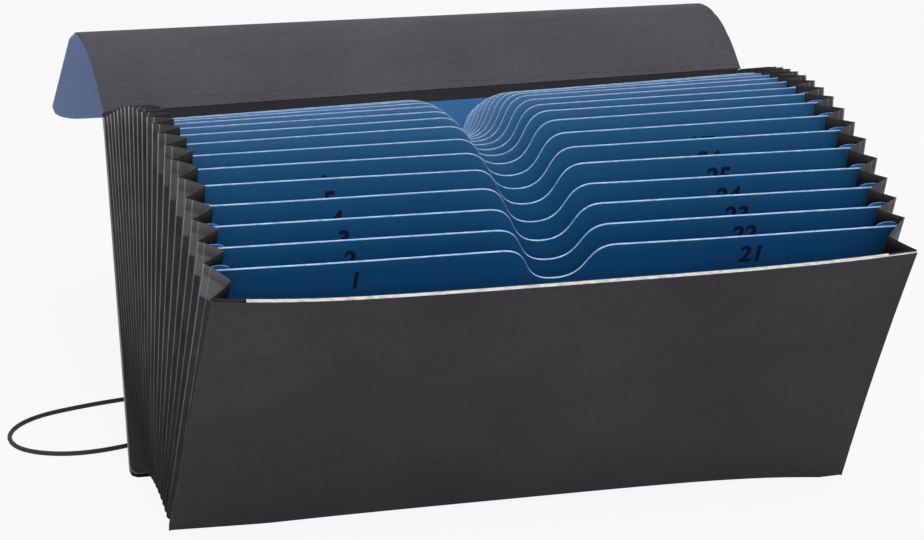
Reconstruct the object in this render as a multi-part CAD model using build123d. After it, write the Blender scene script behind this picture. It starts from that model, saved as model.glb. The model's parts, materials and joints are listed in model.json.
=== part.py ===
from build123d import *
import math
import os

# An open accordion file: two stiff panels, a fan of notched dividers, pleated
# gussets round three sides of every pocket, a folded-back flap and an elastic loop.
# Millimetres and degrees, Z up, front towards -Y.

# Sheet sizes
panel_width = 381.0
panel_height = 205.0
back_rise = 11.0
board_thickness = 2.0
cover_thickness = 0.4
lining_thickness = 0.4
divider_thickness = 0.6
flap_thickness = 1.0
lining_drop = 7.0
lining_foot = 1.0
divider_drop = 6.0

# The fan: every sheet lies on a plane through one line below the floor.
# The angles say how far each pocket gapes, from front to back.
fan_radius = 77.4
front_lean = 33.9
pocket_angles = (
    4.8, 3.2, 3.4, 3.7, 4.0, 3.9, 3.7, 3.8, 3.4, 3.2, 3.1,
    2.9, 2.8, 2.7, 2.6, 2.5, 2.5, 2.4, 2.4, 2.3, 2.2,
)

# The finger notch in each divider
notch_width = 63.0
notch_depth = 24.0
notch_top_pull = 19.0
notch_floor_pull = 21.0

# The pleats of the gusset
pleat_inset = 11.0
pleat_thickness = 0.4
pleat_rise = 5.0

# The flap
crease_gap = 0.9
riser_start_angle = 30.0
riser_start = 15.0
riser_bend_radius = 116.0
riser_bend_angle = 41.0
tip_start_angle = -22.0
tip_start = 24.0
tip_bend_radius = 20.0
tip_bend_angle = 18.0
tip_end = 115.0
tip_corner = 20.0

# The elastic loop
cord_diameter = 2.7
cord_sides = 8
cord_hole = 3.4
hole_height = 80.0
hole_places = (-20.0, -60.0)
cord_stub = 24.0
cord_rounding = 0.45
cord_route = [
    (-28.0, 128.0, 33.0),
    (-48.0, 149.0, 14.5),
    (-80.0, 163.5, 3.4),
    (-114.0, 170.0, 1.6),
    (-148.0, 171.0, 1.6),
    (-181.5, 166.8, 1.6),
    (-209.4, 159.3, 1.6),
    (-235.0, 149.5, 1.6),
    (-251.0, 135.0, 1.6),
    (-259.0, 117.0, 1.6),
    (-257.0, 99.0, 1.6),
    (-246.0, 87.0, 1.6),
    (-228.0, 81.0, 1.6),
    (-207.0, 83.0, 1.6),
    (-184.0, 91.5, 1.6),
    (-157.0, 105.0, 1.6),
    (-125.0, 117.0, 4.5),
    (-95.0, 123.0, 16.0),
    (-72.0, 121.0, 33.0),
]

half_width = panel_width / 2
half_sheet = divider_thickness / 2
back_height = panel_height + back_rise
pocket_count = len(pocket_angles)
axis_drop = fan_radius * math.cos(math.radians(front_lean))


def panel_angle(number):
    """Lean of a sheet in degrees: 0 is the front panel, pocket_count the back panel."""
    return front_lean - sum(pocket_angles[:number])


def panel_plane(angle):
    """Local x across the file, y up the sheet from its foot, z forward out of the sheet."""
    lean = math.radians(angle)
    foot = (0, -fan_radius * math.sin(lean), fan_radius * math.cos(lean) - axis_drop)
    return Plane(origin=foot, x_dir=(1, 0, 0), z_dir=(0, -math.cos(lean), -math.sin(lean)))


def sheet(angle, outline, start, thickness):
    """A flat sheet on a panel plane, from start to start + thickness along the plane's normal."""
    plane = panel_plane(angle).offset(start)
    return extrude(plane * outline, amount=thickness, dir=plane.z_dir)


def rectangle(bottom, top):
    return Pos(0, (bottom + top) / 2) * Rectangle(panel_width, top - bottom)


def cut_at_floor(solid):
    """The stiff panels stand on the floor, so their feet are cut level."""
    below = Pos(0, 0, -panel_height / 2) * Box(2 * panel_width, 4 * panel_height, panel_height)
    return solid - below


def divider_outline():
    """A rectangle whose top edge dips in a smooth finger notch."""
    top = panel_height - divider_drop
    floor = top - notch_depth
    shoulder = notch_width / 2
    left_side = Polyline((-shoulder, top), (-half_width, top), (-half_width, 0))
    base = Line((-half_width, 0), (half_width, 0))
    right_side = Polyline((half_width, 0), (half_width, top), (shoulder, top))
    right_wave = Bezier(
        (shoulder, top), (shoulder - notch_top_pull, top), (notch_floor_pull, floor), (0, floor)
    )
    left_wave = Bezier(
        (0, floor), (-notch_floor_pull, floor), (notch_top_pull - shoulder, top), (-shoulder, top)
    )
    return make_face([left_side, base, right_side, right_wave, left_wave])


def folded_solid(sections):
    """A thin folded solid with flat faces, run through sections of equally many corners.

    The first half of each section is one skin and the second half, run backwards, the
    other, so the second half is split along the other diagonal: the skins stay parallel.
    """
    outlines = [sections[0], sections[-1]]
    for here, there in zip(sections, sections[1:]):
        for side in range(len(here)):
            after = (side + 1) % len(here)
            if side < len(here) // 2:
                outlines.append([here[side], here[after], there[side]])
                outlines.append([here[after], there[after], there[side]])
            else:
                outlines.append([here[side], here[after], there[after]])
                outlines.append([here[side], there[after], there[side]])
    return Solid(Shell([Face(Wire.make_polygon(outline)) for outline in outlines]))


def pleat(number):
    """The folded gusset of one pocket: a V-section that runs down, across and up again.

    Its two outer edges lie flat on the sheets either side of the pocket, and its
    inner crease lies halfway between them, pleat_inset inside the file. The pleats
    reach higher towards the back panel, by up to pleat_rise.
    """
    first = panel_angle(number)
    last = panel_angle(number + 1)
    middle = math.radians((first + last) / 2)
    half_pitch = math.radians((first - last) / 2)

    def reach(rho):
        """Half the clear width of the pocket at a distance rho from the fan's line."""
        return rho * math.tan(half_pitch) - half_sheet / math.cos(half_pitch)

    def place(x, rho, tau):
        y = -rho * math.sin(middle) - tau * math.cos(middle)
        z = rho * math.cos(middle) - tau * math.sin(middle) - axis_drop
        return (x, y, z)

    def section(edge_x, edge_rho, step_x, step_rho):
        """V of six corners: in from the edge by steps of (step_x, step_rho)."""
        slope = math.atan2(reach(edge_rho), pleat_inset)
        wall = pleat_thickness / math.sin(slope)
        outer = ((0, 1), (pleat_inset, 0), (0, -1))
        inner = ((wall, -1), (pleat_inset + wall, 0), (wall, 1))
        corners = []
        for inset, share in outer + inner:
            rho = edge_rho + step_rho * inset
            corners.append(place(edge_x + step_x * inset, rho, share * reach(rho)))
        return corners

    rise = pleat_rise * ((number + 1) / pocket_count) ** 3
    top = (fan_radius + panel_height + rise) * math.cos(half_pitch)
    base = fan_radius
    return folded_solid(
        [
            section(-half_width, top, 1, 0),
            section(-half_width, base, 1, 1),
            section(half_width, base, -1, 1),
            section(half_width, top, -1, 0),
        ]
    )


def heading(angle):
    return Vector(0, math.cos(math.radians(angle)), math.sin(math.radians(angle)))


class Profile:
    """A side profile of the flap, drawn by straight runs and clockwise bends."""

    def __init__(self, start, angle):
        self.point = start
        self.angle = angle
        self.edges = []

    def straight(self, length):
        end = self.point + heading(self.angle) * length
        self.edges.append(Line(self.point, end))
        self.point = end

    def bend(self, radius, turn):
        centre = self.point + heading(self.angle - 90) * radius
        middle = centre + heading(self.angle + 90 - turn / 2) * radius
        end = centre + heading(self.angle + 90 - turn) * radius
        self.edges.append(ThreePointArc(self.point, middle, end))
        self.point = end
        self.angle = self.angle - turn


def flap_sheet(start, angle, steps):
    """A bent sheet as wide as the panels. The profile is its outer face.

    Returns the solid, and the outer face's last point and heading.
    """
    outer = Profile(start, angle)
    inner = Profile(start + heading(angle - 90) * flap_thickness, angle)
    for step in steps:
        if len(step) == 1:
            outer.straight(step[0])
            inner.straight(step[0])
        else:
            outer.bend(step[0], step[1])
            inner.bend(step[0] - flap_thickness, step[1])
    first_cap = Line(inner.edges[0] @ 0, outer.edges[0] @ 0)
    last_cap = Line(outer.point, inner.point)
    face = make_face(Wire(outer.edges + [last_cap] + inner.edges + [first_cap]))
    solid = extrude(face, amount=half_width, dir=(1, 0, 0), both=True)
    return solid, outer.point, outer.angle


def cord_points():
    """The whole route: in at one hole of the back panel, round the loop, out at the other."""
    plane = panel_plane(panel_angle(pocket_count))
    face = half_sheet - lining_thickness
    ends = []
    for x in hole_places:
        inside = plane.from_local_coords(Vector(x, hole_height, face))
        outside = inside - plane.z_dir * cord_stub
        ends.append((inside, outside))
    route = [Vector(p) for p in cord_route]
    return [ends[0][0], ends[0][1]] + route + [ends[1][1], ends[1][0]]


def cord_tube(points):
    """Straight runs joined by tangent arcs, swept with a many-sided section."""
    radii = []
    for before, here, after in zip(points, points[1:], points[2:]):
        run_in = here - before
        run_out = after - here
        turn = math.radians(run_in.get_angle(run_out))
        shorter = min(run_in.length, run_out.length)
        radii.append(cord_rounding * shorter / math.tan(turn / 2))
    print("cord bend radii", [round(r, 1) for r in radii])
    path = FilletPolyline(*points, radius=radii)
    start = Plane(origin=path @ 0, z_dir=path % 0)
    section = start * RegularPolygon(cord_diameter / 2, cord_sides)
    tube = sweep(section, path=path)
    share = tube.volume / (section.area * path.length)
    print("cord length", round(path.length, 1), "volume share", round(share, 4))
    return tube


parts = {}

# The front panel: a pale board with a dark paper cover on its outside
front = panel_angle(0)
low = -3 * board_thickness
front_inside = -half_sheet
parts["front_board"] = cut_at_floor(
    sheet(front, rectangle(low, panel_height), front_inside, board_thickness)
)
parts["front_cover"] = cut_at_floor(
    sheet(front, rectangle(low, panel_height), front_inside + board_thickness, cover_thickness)
)

# The dividers
for number in range(1, pocket_count):
    solid = sheet(panel_angle(number), divider_outline(), -half_sheet, divider_thickness)
    parts[f"divider_{number:02d}"] = solid

# The gusset, one pleat to a pocket
for number in range(pocket_count):
    parts[f"pleat_{number + 1:02d}"] = pleat(number)

# The back panel: lining, board and cover, with two holes for the elastic
back = panel_angle(pocket_count)
lining_face = half_sheet
board_face = lining_face - lining_thickness
cover_face = board_face - board_thickness
holes = Sketch() + [Pos(x, hole_height) * Circle(cord_hole / 2) for x in hole_places]
holed = rectangle(low, back_height) - holes
parts["back_lining"] = sheet(
    back, rectangle(lining_foot, back_height - lining_drop), board_face, lining_thickness
)
parts["back_board"] = cut_at_floor(sheet(back, holed, cover_face, board_thickness))
parts["back_cover"] = cut_at_floor(
    sheet(back, holed, cover_face - cover_thickness, cover_thickness)
)

# The flap: a riser that curves back from the top of the back panel, and the tip beyond its crease
back_plane = panel_plane(back)
riser_foot = back_plane.from_local_coords(Vector(0, back_height + crease_gap, board_face))
riser, riser_tip, riser_angle = flap_sheet(
    riser_foot,
    riser_start_angle,
    [(riser_start,), (riser_bend_radius, riser_bend_angle)],
)
parts["flap_riser"] = riser
tip_foot = riser_tip + heading(riser_angle) * crease_gap
tip, tip_edge, tip_angle = flap_sheet(
    tip_foot,
    tip_start_angle,
    [(tip_start,), (tip_bend_radius, tip_bend_angle), (tip_end,)],
)
corners = tip.edges().filter_by(lambda e: abs(e.length - flap_thickness) < 1e-6)
far_corners = corners.sort_by(Axis.Y)[-2:]
parts["flap_tip"] = fillet(far_corners, tip_corner)

# The elastic loop, which lies on the floor behind the file
parts["elastic_cord"] = cord_tube(cord_points())

# The origin goes under the middle of the file, the cord left out
lowest = min(s.bounding_box().min.Z for n, s in parts.items() if n != "elastic_cord")
nearest = min(s.bounding_box().min.Y for n, s in parts.items() if n != "elastic_cord")
furthest = max(s.bounding_box().max.Y for n, s in parts.items() if n != "elastic_cord")
move = Vector(0, -(nearest + furthest) / 2, -lowest)
print("moved by", round(move.Y, 4), round(move.Z, 4))
print("fan line at y", round(move.Y, 4), "z", round(move.Z - axis_drop, 4))
riser_axis = back_plane.from_local_coords(Vector(0, back_height + crease_gap / 2, board_face))
tip_axis = riser_tip + heading(riser_angle) * (crease_gap / 2)
print("riser crease", [round(c, 4) for c in riser_axis + move])
print("tip crease", [round(c, 4) for c in tip_axis + move])

os.makedirs("parts", exist_ok=True)
for name, shape in parts.items():
    shape = Location(move) * shape
    shape.label = name
    export_step(shape, f"parts/{name}.step")
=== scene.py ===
import bpy
import json
import math
import random
from mathutils import Matrix, Vector


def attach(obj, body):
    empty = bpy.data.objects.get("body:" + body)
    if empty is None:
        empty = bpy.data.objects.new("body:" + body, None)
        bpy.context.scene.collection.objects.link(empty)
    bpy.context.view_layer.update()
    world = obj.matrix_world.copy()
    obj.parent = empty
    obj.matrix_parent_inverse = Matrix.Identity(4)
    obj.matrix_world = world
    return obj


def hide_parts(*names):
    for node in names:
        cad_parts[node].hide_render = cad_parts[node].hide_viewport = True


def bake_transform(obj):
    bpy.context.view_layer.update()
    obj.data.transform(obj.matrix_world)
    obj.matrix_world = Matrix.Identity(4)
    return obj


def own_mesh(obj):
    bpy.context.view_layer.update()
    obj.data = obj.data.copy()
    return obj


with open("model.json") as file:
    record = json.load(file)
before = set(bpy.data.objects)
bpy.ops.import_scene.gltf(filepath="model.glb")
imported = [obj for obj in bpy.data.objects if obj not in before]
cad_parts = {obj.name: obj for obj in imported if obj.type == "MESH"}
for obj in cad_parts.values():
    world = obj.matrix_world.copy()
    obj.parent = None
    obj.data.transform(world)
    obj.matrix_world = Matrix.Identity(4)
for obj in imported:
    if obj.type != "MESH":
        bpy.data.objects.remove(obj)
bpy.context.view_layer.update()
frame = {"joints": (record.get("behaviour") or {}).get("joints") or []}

# An open accordion file: fan of notched dividers, pleated gusset, stiff panels, thrown-back
# flap and elastic loop. Metres, Z up, front towards -Y. Sheets are numbered from the front:
# 0 is the front panel, 1 to 20 the dividers, 21 the back panel.
mm = 0.001

# Sizes shared with the solids
panel_width = 381 * mm
panel_height = 205 * mm
back_height = 216 * mm
lining_foot = 1 * mm
lining_top = 209 * mm
divider_drop = 6 * mm
divider_solid = 0.6 * mm
board_thickness = 2 * mm
cover_thickness = 0.4 * mm
lining_thickness = 0.4 * mm
fan_radius = 77.4 * mm
front_lean = 33.9
pocket_angles = (
    4.8, 3.2, 3.4, 3.7, 4.0, 3.9, 3.7, 3.8, 3.4, 3.2, 3.1,
    2.9, 2.8, 2.7, 2.6, 2.5, 2.5, 2.4, 2.4, 2.3, 2.2,
)
notch_width = 63 * mm
notch_depth = 24 * mm
notch_top_pull = 19 * mm
notch_floor_pull = 21 * mm
pleat_inset = 11 * mm
pleat_rise = 5 * mm
crease_gap = 0.9 * mm
flap_thickness = 1 * mm
riser_start_angle = 30
riser_steps = [(15 * mm,), (116 * mm, 41)]
tip_start_angle = -22
tip_steps = [(24 * mm,), (20 * mm, 18), (115 * mm,)]
tip_corner = 20 * mm
cord_diameter = 2.7 * mm
hole_height = 80 * mm
hole_places = (-20 * mm, -60 * mm)
cord_stub = 24 * mm

# How far the real file departs from those flat sheets
front_bow = 5.5 * mm
bow_tilt = 0.25
foot_arch = 7 * mm
arch_tilt = 0.6
back_twist = 1.8
flare_left_front = 3 * mm
flare_left_back = 9.6 * mm
widen_left_back = 2.3 * mm
flare_right = 5.5 * mm

# Cards with their glue tabs and figures
card_thickness = 0.9 * mm
card_foot_share = 0.6
card_end_share = 0.15
card_full_from = 0.95
cut_edge = 0.36 * mm
card_warp = 0.7 * mm
card_lift = 0.9 * mm
card_roll = 2.6 * mm
lift_cards = (4, 8)
back_lift = 3.5 * mm
back_lift_cards = (10, 18)
lift_pivot = 0.6
laid_gap = 0.05 * mm
tab_width = 12.5 * mm
tab_foot = 16 * mm
tab_rise = 3.2 * mm
tab_set_down = 0.4 * mm
tab_thickness = 0.4 * mm
tab_band = 0.3 * mm
tab_sink_left = 0.6 * mm
tab_sink_right = 0.25 * mm
tab_margin = 1 * mm
tab_least = 0.5 * mm
mark_height = 12 * mm
mark_place = 109 * mm
mark_middle = 20 * mm
mark_bold = 0.55 * mm
mark_narrow = 0.82
figure_share = 0.7

# Gusset paper, and its ends folded over the front board
foot_corner = 5 * mm
pleat_paper = 0.35 * mm
pleat_clear = 0.4 * mm
pleat_rise_left = 8.5 * mm
pleat_depth_front = 12.5 * mm
pleat_depth_back = 17.5 * mm
# Pockets from the front over which the hems' painted light fades into painted shade
lit_hem_pockets = 10
cap_left = 17.5 * mm
cap_right = 16 * mm
cap_right_reach = 1.2 * mm
cap_tuck = 14 * mm
cap_round = 0.4 * mm
cap_skin = 0.15 * mm
cap_paper = 0.25 * mm
cap_over = 0.1 * mm
cap_shade = 0.3

# Panels and flap
front_foot = -1.5 * mm
back_foot = -2 * mm
floor_clear = 0.02 * mm
flap_lean = 15.5 * mm
flap_dip = -3 * mm
flap_spread = 1.5 * mm
flap_creases = (34 * mm, 62 * mm)
crease_depth = 0.5 * mm
crease_width = 3 * mm
score_left = 8.5 * mm
score_right = 3.5 * mm
score_depth = 0.4 * mm
score_width = 0.5 * mm

# Floor and world
floor_reach = 6
floor_grey = 205
floor_glow = 0.91
floor_drop = 0.1 * mm
ambient_strength = 0.15

# The camera, as fitted to the photograph, 924 pixels across
camera_place = Vector((-548.77, -2026.9, 799.75)) * mm
camera_azimuth = 14.68
camera_elevation = 17.88
camera_roll = 0.70
focal_pixels = 3936.9
image_width = 924

half_width = panel_width / 2
pocket_count = len(pocket_angles)
board_face = divider_solid / 2 - lining_thickness
front_inside = -divider_solid / 2
fan_line = Vector(next(j for j in frame["joints"] if j["name"] == "pocket_21_close")["pos_m"])
chance = random.Random(7)


# Placing points on the sheets

def panel_angle(number):
    return front_lean - sum(pocket_angles[:number])


def sheet_point(number, x, height, offset=0.0):
    """A point on a sheet: x across, height up from its foot, offset forward of its middle.

    The file isn't quite true: the sheets twist more from one to the next, they spread and
    arch up at their feet, the arch most at the front, and the front panel's top bows out.
    """
    side = x / half_width
    depth = number / pocket_count
    rise = height / panel_height
    fade = max(0.0, 1 - rise)
    middle = 1 - side**4
    lean = math.radians(panel_angle(number))
    twist = math.radians(back_twist) * (fan_radius + panel_height)
    offset = offset + twist * depth * side * rise
    height = height + foot_arch * middle * (1 + arch_tilt * side) * fade * (1 - depth)
    if number == 0:
        offset = offset + front_bow * middle * (1 - bow_tilt * side) * rise
    flare = flare_right * fade**2
    if side < 0:
        at_foot = flare_left_front + (flare_left_back - flare_left_front) * depth
        flare = at_foot * fade + widen_left_back * depth * (1 - fade)
    reach = fan_radius + height
    across = Vector((x + flare * side, 0, 0))
    up = Vector((0, -math.sin(lean), math.cos(lean)))
    forward = Vector((0, -math.cos(lean), -math.sin(lean)))
    return Vector((0, fan_line.y, fan_line.z)) + across + up * reach + forward * offset


def pleat_depth(number):
    """How far the fold between sheets number and number + 1 reaches in."""
    return pleat_depth_front + (pleat_depth_back - pleat_depth_front) * number / (pocket_count - 1)


def sheet_body(number):
    if number == 0:
        return "front"
    if number == pocket_count:
        return "back"
    return f"leaf_{number:02d}"


def hand(side):
    return "left" if side < 0 else "right"


def spread(start, end, steps):
    return [start + (end - start) * n / steps for n in range(steps + 1)]


def mirrored(right):
    """Places from left to right, given those from the middle to the right."""
    return [-x for x in reversed(right[1:])] + right


def corner_cut(x, half, corner):
    """How much a round corner takes off the edge of a sheet at x."""
    past = max(0.0, abs(x) - (half - corner))
    return corner - math.sqrt(max(0.0, corner**2 - past**2))


def between(value, start, end):
    """0 up to start, 1 from end on, and an even rise from one to the other."""
    return min(1, max(0, (value - start) / (end - start)))


# Building meshes

def add_mesh(name, points, faces, kinds, materials, sharp=30):
    mesh = bpy.data.meshes.new(name)
    mesh.from_pydata(points, [], faces)
    for material in materials:
        mesh.materials.append(material)
    for polygon, kind in zip(mesh.polygons, kinds):
        polygon.material_index = kind
    mesh.shade_smooth()
    mesh.set_sharp_from_angle(angle=math.radians(sharp))
    mesh.update()
    piece = bpy.data.objects.new(name, mesh)
    bpy.context.scene.collection.objects.link(piece)
    return piece


def grid_faces(rows, width):
    """Four-sided faces between points listed row by row."""
    faces = []
    for i in range(rows - 1):
        for j in range(width - 1):
            corner = i * width + j
            faces.append((corner, corner + 1, corner + width + 1, corner + width))
    return faces


def add_values(piece, title, values):
    """One number for each point of a piece, which its material reads by title."""
    layer = piece.data.attributes.new(title, "FLOAT", "POINT")
    layer.data.foreach_set("value", values)


def thicken(piece, thickness, offset):
    paper = piece.modifiers.new("paper", "SOLIDIFY")
    paper.thickness = thickness
    paper.offset = offset
    return paper


def plate(name, columns, place, near, far, materials, rims, band=False):
    """A thick sheet. columns are lists of (x, height) from foot to top, all of one length.

    materials go to faces by number: 0 near face, 1 far face. rims numbers the materials of
    the foot, top, left and right rims. With band, the strip next to the top is rim too.
    """
    count = len(columns)
    rows = len(columns[0])
    points = []
    for offset in (near, far):
        for column in columns:
            for x, height in column:
                points.append(place(x, height, offset))

    def at(side, i, j):
        return (side * count + i) * rows + j

    foot, top, left, right = rims
    faces = []
    kinds = []
    for i in range(count - 1):
        for j in range(rows - 1):
            edge = band and j == rows - 2
            faces.append((at(0, i, j), at(0, i + 1, j), at(0, i + 1, j + 1), at(0, i, j + 1)))
            kinds.append(top if edge else 0)
            faces.append((at(1, i, j), at(1, i, j + 1), at(1, i + 1, j + 1), at(1, i + 1, j)))
            kinds.append(top if edge else 1)
        faces.append((at(1, i, 0), at(1, i + 1, 0), at(0, i + 1, 0), at(0, i, 0)))
        kinds.append(foot)
        last = rows - 1
        faces.append((at(0, i, last), at(0, i + 1, last), at(1, i + 1, last), at(1, i, last)))
        kinds.append(top)
    for j in range(rows - 1):
        faces.append((at(1, 0, j), at(0, 0, j), at(0, 0, j + 1), at(1, 0, j + 1)))
        kinds.append(left)
        end = count - 1
        faces.append((at(0, end, j), at(1, end, j), at(1, end, j + 1), at(0, end, j + 1)))
        kinds.append(right)
    return add_mesh(name, points, faces, kinds, materials)


# Materials

def srgb(red, green, blue):
    """Screen colour from 0 to 255 as the linear colour that nodes take."""
    def linear(value):
        share = value / 255
        return share / 12.92 if share <= 0.04045 else ((share + 0.055) / 1.055) ** 2.4
    return (linear(red), linear(green), linear(blue), 1)


class Nodes:
    """A material's node tree with short ways to add and link nodes."""

    def __init__(self, name, roughness):
        self.material = bpy.data.materials.new(name)
        self.material.use_nodes = True
        self.tree = self.material.node_tree
        self.shader = self.tree.nodes["Principled BSDF"]
        self.shader.inputs["Roughness"].default_value = roughness
        self.place = self.add("ShaderNodeTexCoord").outputs["Object"]

    def add(self, kind, **values):
        node = self.tree.nodes.new(kind)
        for key, value in values.items():
            setattr(node, key, value)
        return node

    def link(self, source, target):
        self.tree.links.new(source, target)

    def stretched(self, scale):
        mapping = self.add("ShaderNodeMapping")
        mapping.inputs["Scale"].default_value = scale
        self.link(self.place, mapping.inputs["Vector"])
        return mapping.outputs["Vector"]

    def noise(self, scale, detail=4, stretch=None):
        node = self.add("ShaderNodeTexNoise")
        node.inputs["Scale"].default_value = scale
        node.inputs["Detail"].default_value = detail
        self.link(self.stretched(stretch) if stretch else self.place, node.inputs["Vector"])
        return node.outputs["Fac"]

    def ramp(self, source, stops):
        """stops: (position, colour) pairs."""
        node = self.add("ShaderNodeValToRGB")
        elements = node.color_ramp.elements
        while len(elements) < len(stops):
            elements.new(0.5)
        for element, (position, colour) in zip(elements, stops):
            element.position = position
            element.color = colour
        self.link(source, node.inputs["Fac"])
        return node.outputs["Color"]

    def range(self, source, low, high):
        node = self.add("ShaderNodeMapRange")
        node.inputs["To Min"].default_value = low
        node.inputs["To Max"].default_value = high
        self.link(source, node.inputs["Value"])
        return node.outputs["Result"]

    def mix(self, factor, first, second, blend="MIX"):
        node = self.add("ShaderNodeMix", data_type="RGBA", blend_type=blend)
        for source, number in ((factor, 0), (first, 6), (second, 7)):
            if isinstance(source, (float, int, tuple)):
                node.inputs[number].default_value = source
            else:
                self.link(source, node.inputs[number])
        return node.outputs[2]

    def attribute(self, name):
        return self.add("ShaderNodeAttribute", attribute_name=name).outputs["Fac"]

    def bump(self, source, strength, distance):
        node = self.add("ShaderNodeBump")
        node.inputs["Strength"].default_value = strength
        node.inputs["Distance"].default_value = distance
        self.link(source, node.inputs["Height"])
        self.link(node.outputs["Normal"], self.shader.inputs["Normal"])


def cover_paper(name, light, dark, gloss):
    """Dark cover paper: a fine pressed grain over faint clouds."""
    nodes = Nodes(name, 0.65)
    nodes.shader.inputs["Specular IOR Level"].default_value = gloss
    grain = nodes.noise(700, 6, (0.4, 1, 1))
    clouds = nodes.ramp(nodes.noise(14, 3), [(0.3, dark), (0.7, light)])
    specks = nodes.range(grain, 0.66, 1.34)
    nodes.link(nodes.mix(1.0, clouds, specks, "MULTIPLY"), nodes.shader.inputs["Base Color"])
    nodes.link(nodes.range(grain, 0.55, 0.75), nodes.shader.inputs["Roughness"])
    nodes.bump(grain, 0.25, 0.12 * mm)
    return nodes.material


def card(name, light, dark, roughness, coat=0.0):
    """Coloured card: short fibres across the sheet and soft clouds."""
    nodes = Nodes(name, roughness)
    nodes.shader.inputs["Coat Weight"].default_value = coat
    nodes.shader.inputs["Coat Roughness"].default_value = 0.45
    nodes.shader.inputs["Coat IOR"].default_value = 1.75
    fibres = nodes.noise(900, 4, (0.35, 1, 1))
    clouds = nodes.ramp(nodes.noise(9, 3), [(0.3, dark), (0.7, light)])
    flecks = nodes.range(fibres, 0.86, 1.12)
    nodes.link(nodes.mix(1.0, clouds, flecks, "MULTIPLY"), nodes.shader.inputs["Base Color"])
    nodes.link(nodes.range(fibres, roughness - 0.06, roughness + 0.08), nodes.shader.inputs["Roughness"])
    nodes.bump(fibres, 0.15, 0.1 * mm)
    return nodes.material


def cut_fibres(name, light, dark):
    """The cut edge of card or board: pale, with darker fibre ends."""
    nodes = Nodes(name, 0.85)
    fibres = nodes.noise(700, 3, (0.3, 1, 1))
    nodes.link(nodes.ramp(fibres, [(0.35, dark), (0.6, light)]), nodes.shader.inputs["Base Color"])
    nodes.bump(fibres, 0.3, 0.15 * mm)
    return nodes.material


def gusset_paper(name, body, hem, lip, worn_and_lit, rear_hem_shade):
    """Gusset paper: a hem along the top, with painted light on the hems of the front pleats and painted
    shade on those behind, and creases pale partly from rubbing and partly from a painted highlight.
    """
    nodes = Nodes(name, 0.62)
    nodes.shader.inputs["Specular IOR Level"].default_value = 0.15
    grain = nodes.noise(1100, 4)
    rubs = nodes.noise(130, 4, (1, 1, 0.25))
    hemmed = nodes.ramp(
        nodes.attribute("down"),
        [(0.0, lip), (0.034, lip), (0.042, hem), (0.112, hem), (0.117, body), (0.6, body)],
    )
    # Hems are pale on the front pleats and dark on the rear ones: painted light in front, painted shade
    # behind
    behind = nodes.ramp(nodes.attribute("down"), [(0.0, rear_hem_shade), (0.13, rear_hem_shade), (0.15, body)])
    down = nodes.mix(nodes.attribute("near_front"), behind, hemmed)
    grey = nodes.mix(nodes.range(rubs, 0.0, 0.13), down, worn_and_lit)
    # Pale lines along the creases: partly rubbed paper, partly a painted highlight on the crease edges
    crease_rub_and_highlight = nodes.add("ShaderNodeMath", operation="MULTIPLY")
    nodes.link(nodes.attribute("fold"), crease_rub_and_highlight.inputs[0])
    nodes.link(nodes.range(rubs, 0.25, 1.1), crease_rub_and_highlight.inputs[1])
    creased = nodes.mix(crease_rub_and_highlight.outputs[0], grey, worn_and_lit)
    specks = nodes.range(grain, 0.8, 1.15)
    nodes.link(nodes.mix(1.0, creased, specks, "MULTIPLY"), nodes.shader.inputs["Base Color"])
    nodes.bump(grain, 0.2, 0.1 * mm)
    return nodes.material


def braid(name, light, dark):
    """Braided elastic: fine strands that run aslant."""
    nodes = Nodes(name, 0.7)
    wave = nodes.add("ShaderNodeTexWave", bands_direction="DIAGONAL")
    wave.inputs["Scale"].default_value = 420
    wave.inputs["Distortion"].default_value = 1.5
    nodes.link(nodes.place, wave.inputs["Vector"])
    strands = wave.outputs["Fac"]
    nodes.link(nodes.ramp(strands, [(0.2, dark), (0.8, light)]), nodes.shader.inputs["Base Color"])
    nodes.bump(strands, 0.5, 0.2 * mm)
    return nodes.material


cover = cover_paper("cover_paper", srgb(75, 74, 78), srgb(66, 65, 69), 0.05)
# The flap is of the cover's paper, made a little lighter: painted light
flap_face = cover_paper("flap_paper", srgb(84, 83, 88), srgb(73, 72, 77), 0.06)
flap_back = card("flap_lining", srgb(144, 170, 226), srgb(132, 159, 217), 0.6)
blue = card("blue_card", srgb(4, 99, 152), srgb(3, 91, 144), 0.6, coat=1.0)
lining_blue = card("lining_card", srgb(38, 104, 162), srgb(30, 96, 152), 0.75)
tab_blue = card("tab_card", srgb(26, 112, 172), srgb(20, 102, 160), 0.6)
blue_edge = cut_fibres("card_edge", srgb(188, 214, 248), srgb(142, 178, 230))
tab_edge = cut_fibres("tab_edge", srgb(104, 150, 204), srgb(70, 120, 180))
core = cut_fibres("board_core", srgb(222, 219, 214), srgb(180, 177, 173))
white_edge = cut_fibres("flap_edge", srgb(214, 214, 220), srgb(160, 160, 170))
inner_dark = cover_paper("inner_paper", srgb(38, 37, 40), srgb(30, 29, 32), 0.12)
gusset_out = gusset_paper(
    # the fourth colour, of the pale creases, is partly rubbing and partly painted highlight
    "gusset_outside", srgb(33, 31, 32), srgb(118, 117, 123), srgb(80, 80, 82), srgb(188, 187, 190),
    # painted shade on the rear pleats' hems
    srgb(10, 10, 11),
)
gusset_in = gusset_paper(
    "gusset_inside", srgb(18, 18, 19), srgb(23, 23, 24), srgb(34, 32, 31), srgb(58, 56, 57),
    srgb(18, 18, 19),
)
gusset_lip = cut_fibres("gusset_lip", srgb(60, 57, 56), srgb(34, 32, 31))
elastic = braid("black_elastic", srgb(34, 34, 36), srgb(14, 14, 15))
ink = card("index_ink", srgb(10, 26, 62), srgb(8, 20, 50), 0.6)


# The elastic loop

def cord_ends():
    """Where the elastic passes the back panel: at its board's inside face, and a stub outside."""
    ends = []
    for x in hole_places:
        inside = sheet_point(pocket_count, x, hole_height, board_face)
        outside = sheet_point(pocket_count, x, hole_height, board_face - cord_stub)
        ends.append((inside, outside))
    return ends


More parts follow.
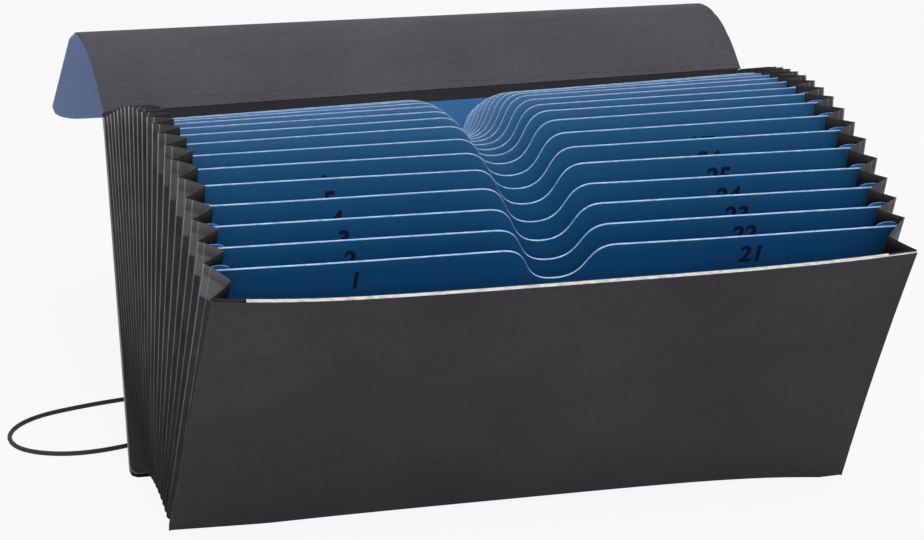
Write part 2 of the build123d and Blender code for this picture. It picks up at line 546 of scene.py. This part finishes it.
# Control points in mm: x across, y behind the fan's line, z above the floor
lying = 1.6
cord_route = [
    (-28.0, 128.0, 33.0),
    (-48.0, 149.0, 14.5),
    (-80.0, 163.5, 3.4),
    (-114.0, 170.0, lying),
    (-148.0, 171.0, lying),
    (-181.5, 166.8, lying),
    (-209.4, 159.3, lying),
    (-235.0, 149.5, lying),
    (-251.0, 135.0, lying),
    (-259.0, 117.0, lying),
    (-257.0, 99.0, lying),
    (-246.0, 87.0, lying),
    (-228.0, 81.0, lying),
    (-207.0, 83.0, lying),
    (-184.0, 91.5, lying),
    (-157.0, 105.0, lying),
    (-125.0, 117.0, 4.5),
    (-95.0, 123.0, 16.0),
    (-72.0, 121.0, 33.0),
]
first_end, second_end = cord_ends()
cord_points = [first_end[0], first_end[1]]
for point in cord_route:
    cord_points.append(Vector(point) * mm + Vector((0, fan_line.y, 0)))
cord_points.extend([second_end[1], second_end[0]])

cord_curve = bpy.data.curves.new("elastic_loop", "CURVE")
cord_curve.dimensions = "3D"
cord_curve.bevel_depth = cord_diameter / 2
cord_curve.bevel_resolution = 4
cord_curve.resolution_u = 10
cord_spline = cord_curve.splines.new("NURBS")
cord_spline.points.add(len(cord_points) - 1)
for control, point in zip(cord_spline.points, cord_points):
    control.co = (*point, 1)
cord_spline.order_u = 3
cord_spline.use_endpoint_u = True
cord_curve.materials.append(elastic)
cord_piece = bpy.data.objects.new("elastic_loop", cord_curve)
bpy.context.scene.collection.objects.link(cord_piece)
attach(cord_piece, "back")
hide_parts("elastic_cord")
tuple(first_end[0])


# The dividers

def bezier(first, second, third, fourth, share):
    rest = 1 - share
    return (
        first * rest**3
        + 3 * second * rest**2 * share
        + 3 * third * rest * share**2
        + fourth * share**3
    )


def divider_tops():
    """(x, drop below the top edge) along a divider's top edge, left to right."""
    shoulder = notch_width / 2
    right = []
    for share in spread(0, 1, 24)[1:]:
        x = bezier(0, notch_floor_pull, shoulder - notch_top_pull, shoulder, share)
        drop = notch_depth * bezier(1, 1, 0, 0, share)
        right.append((x, drop))
    right.extend((x, 0) for x in spread(shoulder, half_width, 14)[1:])
    left = [(-x, drop) for x, drop in reversed(right)]
    return left + [(0, notch_depth)] + right


def divider_piece(number):
    """Adds a card, and gives the function that places points on it."""
    top = panel_height - divider_drop
    phase = chance.uniform(0, 2 * math.pi)
    sway = chance.uniform(-1, 1) * card_warp
    curl = chance.uniform(-0.4, 1) * card_warp
    pitch = math.radians(min(pocket_angles[number - 1], pocket_angles[number]))
    settled = between(number, *lift_cards)
    far = between(number, *back_lift_cards)

    def place(x, height, offset):
        """Flat at the foot and the ends, with a slight wave along the free top edge.

        The ends stop where the gusset's fold leaves room for the card's thickness. The cards
        thin towards the foot and, below the top edge, towards the ends, where a closed fold
        leaves least room. Those further back stand higher to one side.
        """
        room = (fan_radius + height) * math.tan(pitch / 2)
        trim = (card_thickness / 2 + pleat_paper) * pleat_depth(number) / room
        x = x * (1 - trim / half_width)
        side = x / half_width
        lift = settled * (card_lift + card_roll * side)
        lift = lift + far * back_lift * (side + lift_pivot) / (1 + lift_pivot)
        height = height * (1 + lift / top)
        share = height / top
        free = (1 - side**2) * share**2
        wave = sway * math.sin(3 * math.pi * x / panel_width + phase) + curl
        thin = card_foot_share + (1 - card_foot_share) * share
        if share < card_full_from:
            from_end = half_width - abs(x)
            thin = thin * min(1, card_end_share + (1 - card_end_share) * from_end / pleat_depth(number))
        return sheet_point(number, x, height, offset * thin + free * wave)

    columns = []
    for x, drop in divider_tops():
        heights = spread(0, top - drop - cut_edge, 9) + [top - drop]
        columns.append([(x, height) for height in heights])
    half = card_thickness / 2
    piece = plate(
        f"card_{number:02d}", columns, place, half, -half, [blue, blue, blue_edge], (2, 2, 2, 2), band=True
    )
    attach(piece, sheet_body(number))
    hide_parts(f"divider_{number:02d}")
    return place


def tab_piece(number, side, place):
    """The rounded glue tab that shows behind a divider's end, lower from card to card."""
    top = panel_height - divider_drop
    outer = half_width - tab_margin
    sink = tab_sink_left if side < 0 else tab_sink_right
    tall = tab_rise - sink * (number - 1)
    if tall < tab_least:
        return
    columns = []
    for share in spread(-1, 1, 14):
        x = side * (outer - tab_width / 2) + share * tab_width / 2
        rise = tall * math.sqrt(max(0.0, 1 - share**2)) - tab_set_down
        heights = spread(top - tab_foot, top + rise - tab_band, 4) + [top + rise]
        columns.append([(x, height) for height in heights])
    near = -card_thickness / 2 - laid_gap
    name = f"tab_{number:02d}_{hand(side)}"
    looks = [tab_blue, blue, tab_edge]
    piece = plate(name, columns, place, near, near - tab_thickness, looks, (0, 2, 0, 0), band=True)
    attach(piece, sheet_body(number))


def mark_piece(number, side, words, place):
    """Plain index figures printed on a divider, laid on its face."""
    curve = bpy.data.curves.new("figures", "FONT")
    curve.body = words
    curve.size = mark_height / figure_share
    curve.align_x = "CENTER"
    curve.offset = mark_bold
    curve.resolution_u = 4
    source = bpy.data.objects.new("figures", curve)
    mesh = bpy.data.meshes.new_from_object(source)
    base = panel_height - mark_middle - mark_height / 2
    for vertex in mesh.vertices:
        x = side * mark_place + mark_narrow * vertex.co.x
        vertex.co = place(x, base + vertex.co.y, card_thickness / 2 + laid_gap)
    mesh.materials.clear()
    mesh.materials.append(ink)
    bpy.data.objects.remove(source)
    name = f"mark_{number:02d}_{hand(side)}"
    mesh.name = name
    piece = bpy.data.objects.new(name, mesh)
    bpy.context.scene.collection.objects.link(piece)
    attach(piece, sheet_body(number))


for number in range(1, pocket_count):
    on_card = divider_piece(number)
    for side in (-1, 1):
        tab_piece(number, side, on_card)
    mark_piece(number, -1, str(number), on_card)
    mark_piece(number, 1, f"{number + 20}", on_card)


# The gusset

def gusset_half(top):
    """Stations down the right side and along the foot to the middle.

    Each is (x, height, inward x, inward height, distance below the top).
    """
    out = half_width + pleat_clear
    side_heights = [top, 0.97 * top] + spread(0.92 * top, 12 * mm, 12)
    half = [(out, height, -1, 0) for height in side_heights]
    for turn in spread(0, 90, 5):
        x = out - foot_corner * (1 - math.cos(math.radians(turn)))
        height = foot_corner * (1 - math.sin(math.radians(turn)))
        half.append((x, height, (out - pleat_inset - x) / pleat_inset, 1 - height / pleat_inset))
    half.extend((x, 0, 0, 1) for x in spread(out - pleat_inset, 0, 8))
    return [(*station, top - station[1]) for station in half]


# The lines that run along a pleat: (share of its width, strength of the pale crease line, partly rubbing
# and partly painted highlight)
half_lines = [
    (0, 1.0), (0.02, 1.0), (0.035, 0.0), (0.12, 0.0), (0.135, 0.5), (0.15, 0.0), (0.3, 0.0), (0.47, 0.0),
]
pleat_lines = half_lines + [(0.5, 0.0)] + [(1 - share, rub_and_highlight) for share, rub_and_highlight in reversed(half_lines)]


def pleat_pieces(number):
    """The V-folded paper of one pocket, between sheets number and number + 1, in two halves."""
    deep = pleat_depth(number) * chance.uniform(0.92, 1)
    bulge = chance.uniform(0.2, 0.7) * mm
    depth = (number + 1) / pocket_count
    left = gusset_half(panel_height + pleat_rise_left * depth**8)
    left = [(-x, height, -in_x, in_height, drop) for x, height, in_x, in_height, drop in left]
    right = gusset_half(panel_height + pleat_rise * depth**3)
    pleat_half(number, -1, left, deep, bulge)
    pleat_half(number, 1, right[::-1], deep, bulge)


def pleat_half(number, side, stations, deep, bulge):
    """One half of a pleat: at each station a V from sheet to sheet, with its walls a little full."""
    # How much of the hems' painted light this pleat gets; the rest is painted shade
    hem_light_share = max(0.0, 1 - number / lit_hem_pockets)
    points = []
    down = []
    fold = []
    for x, height, in_x, in_height, drop in stations:
        for share, rub_and_highlight in pleat_lines:
            inset = deep * (1 - abs(2 * share - 1))
            inset = inset + bulge * math.sin(2 * math.pi * share) ** 2
            here_x = x + in_x * inset
            here_height = height + in_height * inset
            near = sheet_point(number, here_x, here_height)
            far = sheet_point(number + 1, here_x, here_height)
            points.append(near.lerp(far, share))
            down.append(drop / panel_height)
            fold.append(rub_and_highlight)
    faces = grid_faces(len(stations), len(pleat_lines))
    name = f"gusset_{number + 1:02d}_{hand(side)}"
    piece = add_mesh(name, points, faces, [0] * len(faces), [gusset_out, gusset_in, gusset_lip], sharp=25)
    add_values(piece, "down", down)
    add_values(piece, "fold", fold)
    add_values(piece, "near_front", [hem_light_share] * len(points))
    paper = thicken(piece, pleat_paper, -1)
    paper.material_offset = 1
    paper.material_offset_rim = 2
    close_pleat(piece, number, side * half_width)


def close_pleat(piece, number, x):
    """The pleat rides on the sheet behind it."""
    joint = next(j for j in frame["joints"] if j["name"] == f"pocket_{number + 1:02d}_close")
    closing = max(abs(limit) for limit in joint["range_deg"])
    foot = sheet_point(number + 1, x, 0)
    up = sheet_point(number + 1, x, panel_height) - foot
    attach(piece, sheet_body(number + 1))
    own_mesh(piece)
    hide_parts(f"pleat_{number + 1:02d}")


for number in range(pocket_count):
    pleat_pieces(number)


# The stiff panels

def on_panel(number):
    """Places points on a stiff panel, none of them below the floor."""
    def place(x, height, offset):
        point = sheet_point(number, x, height, offset)
        point.z = max(point.z, floor_clear)
        return point
    return place


def stiff_columns(half, foot, top, corner):
    """Columns of a stiff panel, with its lower corners rounded."""
    right = spread(0, half - corner, 18) + spread(half - corner, half, 6)[1:]
    columns = []
    for x in mirrored(right):
        lift = corner_cut(x, half, corner)
        columns.append([(x, height) for height in spread(foot + lift, top, 14)])
    return columns


def panel_piece(name, node, number, columns, near, far, looks, rims):
    """One layer of a stiff panel. Its looks and rims are as plate takes them."""
    piece = plate(name, columns, on_panel(number), near, far, looks, rims)
    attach(piece, sheet_body(number))
    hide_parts(node)


def edge_cap(name, start, end, reach):
    """Gusset paper folded over the front board's top edge, reach forward from its inside."""
    inside = front_inside - cap_skin
    lid = panel_height + cap_skin
    section = [
        (inside, panel_height - cap_tuck),
        (inside, lid - cap_round),
        (inside + cap_round, lid),
        (inside + reach, lid),
    ]
    places = spread(start, end, 6)
    on_front = on_panel(0)
    points = [on_front(x, height, offset) for x in places for offset, height in section]
    faces = grid_faces(len(places), len(section))
    piece = add_mesh(name, points, faces, [0] * len(faces), [gusset_in], sharp=60)
    add_values(piece, "down", [cap_shade] * len(points))
    thicken(piece, cap_paper, 0)
    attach(piece, "front")


# The front: pale board lined with blue card, dark cover, and the gusset's ends on its top edge
front_columns = stiff_columns(half_width, front_foot, panel_height, 0.5 * foot_corner)
front_face = front_inside + board_thickness
panel_piece(
    "front_board_bowed", "front_board", 0, front_columns,
    front_face, front_inside, [core, blue, core, cover], (3, 2, 3, 3),
)
panel_piece(
    "front_cover_bowed", "front_cover", 0, front_columns,
    front_face + cover_thickness, front_face, [cover], (0, 0, 0, 0),
)
edge_cap(
    "front_cap_left", -half_width, -half_width + cap_left, board_thickness + cover_thickness + cap_over
)
edge_cap("front_cap_right", half_width - cap_right, half_width, cap_right_reach)

# The back: blue lining, board and cover
back_columns = stiff_columns(half_width, back_foot, back_height, foot_corner)
lining_columns = stiff_columns(half_width - pleat_inset, lining_foot, lining_top, foot_corner)
lining_face = divider_solid / 2
cover_face = board_face - board_thickness
panel_piece(
    "back_lining_sheet", "back_lining", pocket_count, lining_columns,
    lining_face, board_face, [lining_blue, lining_blue, blue_edge], (2, 2, 2, 2),
)
panel_piece(
    "back_board_sheet", "back_board", pocket_count, back_columns,
    board_face, cover_face, [inner_dark, inner_dark], (1, 1, 1, 1),
)
panel_piece(
    "back_cover_sheet", "back_cover", pocket_count, back_columns,
    cover_face, cover_face - cover_thickness, [cover, cover], (1, 1, 1, 1),
)


# The flap: a riser and a tip, both bent sheets, leaning a little more to one side

def heading(angle):
    """The direction at an angle up from level, facing backwards."""
    return Vector((0, math.cos(math.radians(angle)), math.sin(math.radians(angle))))


def bent_line(start, angle, steps):
    """[(run, point, angle)] along straight steps (length,) and downward bends (radius, turn)."""
    line = [(0.0, start, angle)]
    for step in steps:
        run, point, angle = line[-1]
        if len(step) == 1:
            for length in spread(0, step[0], 5)[1:]:
                line.append((run + length, point + heading(angle) * length, angle))
            continue
        radius, turn = step
        centre = point + heading(angle - 90) * radius
        for part in spread(0, turn, 10)[1:]:
            spot = centre + heading(angle + 90 - part) * radius
            line.append((run + math.radians(part) * radius, spot, angle - part))
    return line


riser_start = sheet_point(pocket_count, 0, back_height + crease_gap / 2, board_face)
riser_line = bent_line(riser_start, riser_start_angle, riser_steps)
riser_length = riser_line[-1][0]
tip_line = bent_line(riser_line[-1][1], tip_start_angle, tip_steps)


def flap_lean_at(x, share):
    """How far the flap leans to one side: with the back panel at its foot, more beyond."""
    foot_point = sheet_point(pocket_count, x, back_height, board_face)
    middle = sheet_point(pocket_count, 0, back_height, board_face)
    at_foot = Vector((0, foot_point.y - middle.y, foot_point.z - middle.z))
    at_crease = Vector((0, flap_lean, flap_dip)) * (-x / half_width)
    return at_foot.lerp(at_crease, share)


def score_at(x):
    """The run of the pressed score near the riser's foot, which isn't quite level."""
    return score_left + (score_right - score_left) * (x / half_width + 1) / 2


def pressed(x, run):
    """How deep the score and the soft creases press the riser in."""
    depth = score_depth * math.exp(-((run - score_at(x)) / score_width) ** 2)
    for crease in flap_creases:
        depth = depth + crease_depth * math.exp(-((run - crease) / crease_width) ** 2)
    return depth


def on_line(line, share_at, dent):
    """Places (x, run) on a bent line, pressed in by dent(x, run)."""
    def place(x, run, offset):
        after = next((n for n, spot in enumerate(line) if spot[0] >= run), len(line) - 1)
        before = max(after - 1, 0)
        span = line[after][0] - line[before][0]
        share = (run - line[before][0]) / span if span else 0
        point = line[before][1].lerp(line[after][1], share)
        angle = line[before][2] + (line[after][2] - line[before][2]) * share
        out = heading(angle + 90) * (offset - dent(x, run))
        wide = x * (1 + flap_spread / half_width)
        return point + out + Vector((wide, 0, 0)) + flap_lean_at(x, share_at(run))
    return place


def flap_columns(runs_at, corner):
    """Columns of a flap sheet, with its far corners rounded. runs_at(x) lists a column's runs."""
    columns = []
    right = spread(0, half_width - corner, 16)
    if corner:
        right = right + spread(half_width - corner, half_width, 8)[1:]
    for x in mirrored(right):
        short = corner_cut(x, half_width, corner)
        runs = runs_at(x)
        columns.append([(x, run) for run in runs[:-1]] + [(x, runs[-1] - short)])
    return columns


flap_looks = [flap_face, flap_back, white_edge]
bend_start = riser_steps[0][0]


def riser_runs(x):
    """Close rows at the score, then even rows over the bend."""
    score = [score_at(x) + step * score_width / 2 for step in range(-4, 5)]
    return [0] + score + spread(bend_start, riser_length, 24)


def bend_from_edge(piece, place):
    """Bakes a flap sheet's placement into its mesh."""
    left = place(-half_width, 0, 0)
    right = place(half_width, 0, 0)
    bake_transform(piece)


on_riser = on_line(riser_line, lambda run: run / riser_length, pressed)
riser = plate(
    "flap_riser_bent", flap_columns(riser_runs, 0), on_riser,
    0, -flap_thickness, flap_looks, (0, 2, 0, 0),
)
bend_from_edge(riser, on_riser)
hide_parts("flap_riser")
on_tip = on_line(tip_line, lambda run: 1.0, lambda x, run: 0)
tip = plate(
    "flap_tip_bent", flap_columns(lambda x: [spot[0] for spot in tip_line], tip_corner), on_tip,
    0, -flap_thickness, flap_looks, (2, 2, 2, 2),
)
bend_from_edge(tip, on_tip)
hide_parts("flap_tip")


# Floor, light and camera

def seen_ray(tree):
    """1 where the camera, a reflection or a view through glass meets the backdrop."""
    path = tree.nodes.new("ShaderNodeLightPath")
    either = tree.nodes.new("ShaderNodeMath")
    either.operation = "MAXIMUM"
    tree.links.new(path.outputs["Is Camera Ray"], either.inputs[0])
    tree.links.new(path.outputs["Is Glossy Ray"], either.inputs[1])
    any_ray = tree.nodes.new("ShaderNodeMath")
    any_ray.operation = "MAXIMUM"
    tree.links.new(either.outputs[0], any_ray.inputs[0])
    tree.links.new(path.outputs["Is Transmission Ray"], any_ray.inputs[1])
    return any_ray.outputs[0]


def stage_material(name, colour, share):
    """White by the given share where it is seen. The rest is lit, and so keeps the shadow."""
    nodes = Nodes(name, 0.9)
    nodes.shader.inputs["Base Color"].default_value = colour
    part = nodes.add("ShaderNodeMath", operation="MULTIPLY")
    part.inputs[1].default_value = share
    nodes.link(seen_ray(nodes.tree), part.inputs[0])
    glow = nodes.add("ShaderNodeEmission")
    blend = nodes.add("ShaderNodeMixShader")
    nodes.link(part.outputs[0], blend.inputs[0])
    nodes.link(nodes.shader.outputs[0], blend.inputs[1])
    nodes.link(glow.outputs[0], blend.inputs[2])
    nodes.link(blend.outputs[0], nodes.tree.nodes["Material Output"].inputs["Surface"])
    return nodes.material


floor_mesh = bpy.data.meshes.new("floor")
floor_corners = [(x * floor_reach, y * floor_reach, 0) for x, y in ((-1, -1), (1, -1), (1, 1), (-1, 1))]
floor_mesh.from_pydata(floor_corners, [], [(0, 1, 2, 3)])
floor_colour = srgb(floor_grey, floor_grey, floor_grey)
floor_mesh.materials.append(stage_material("floor_white", floor_colour, floor_glow))
floor = bpy.data.objects.new("floor", floor_mesh)
floor.location.z = -floor_drop
bpy.context.scene.collection.objects.link(floor)

world = bpy.data.worlds.new("studio")
bpy.context.scene.world = world
world.use_nodes = True
tree = world.node_tree
ambient = tree.nodes["Background"]
ambient.inputs["Color"].default_value = (1, 1, 1, 1)
ambient.inputs["Strength"].default_value = ambient_strength
backdrop = tree.nodes.new("ShaderNodeBackground")
backdrop.inputs["Color"].default_value = (1, 1, 1, 1)
backdrop.inputs["Strength"].default_value = 1
choose = tree.nodes.new("ShaderNodeMixShader")
tree.links.new(seen_ray(tree), choose.inputs[0])
tree.links.new(ambient.outputs[0], choose.inputs[1])
tree.links.new(backdrop.outputs[0], choose.inputs[2])
tree.links.new(choose.outputs[0], tree.nodes["World Output"].inputs["Surface"])


def softbox(name, place, target, size, power):
    light = bpy.data.lights.new(name, "AREA")
    light.shape = "RECTANGLE"
    light.size, light.size_y = size
    light.energy = power
    lamp = bpy.data.objects.new(name, light)
    lamp.location = place
    lamp.rotation_euler = (Vector(target) - Vector(place)).to_track_quat("-Z", "Y").to_euler()
    bpy.context.scene.collection.objects.link(lamp)


softbox("overhead", (0.1, -0.3, 1.7), (0, 0, 0.1), (1.8, 1.2), 13)
softbox("front", (-0.4, -2.3, 0.95), (0, 0, 0.1), (2.0, 1.0), 11)
softbox("front_high", (-0.2, -1.6, 2.0), (0, 0, 0.1), (1.6, 0.8), 23)

azimuth = math.radians(camera_azimuth)
elevation = math.radians(camera_elevation)
roll = math.radians(camera_roll)
ahead = Vector((
    math.sin(azimuth) * math.cos(elevation),
    math.cos(azimuth) * math.cos(elevation),
    -math.sin(elevation),
))
level_right = Vector((math.cos(azimuth), -math.sin(azimuth), 0))
level_up = level_right.cross(ahead)
right = math.cos(roll) * level_right + math.sin(roll) * level_up
up = math.cos(roll) * level_up - math.sin(roll) * level_right
lens = bpy.data.cameras.new("camera")
lens.sensor_fit = "HORIZONTAL"
lens.sensor_width = 36
lens.lens = focal_pixels * lens.sensor_width / image_width
lens.clip_end = 50
camera = bpy.data.objects.new("camera", lens)
turn = Matrix((right, up, -ahead)).transposed().to_4x4()
camera.matrix_world = Matrix.Translation(camera_place + Vector((0, fan_line.y, 0))) @ turn
bpy.context.scene.collection.objects.link(camera)
bpy.context.scene.camera = camera
bpy.context.scene.view_settings.view_transform = "Standard"
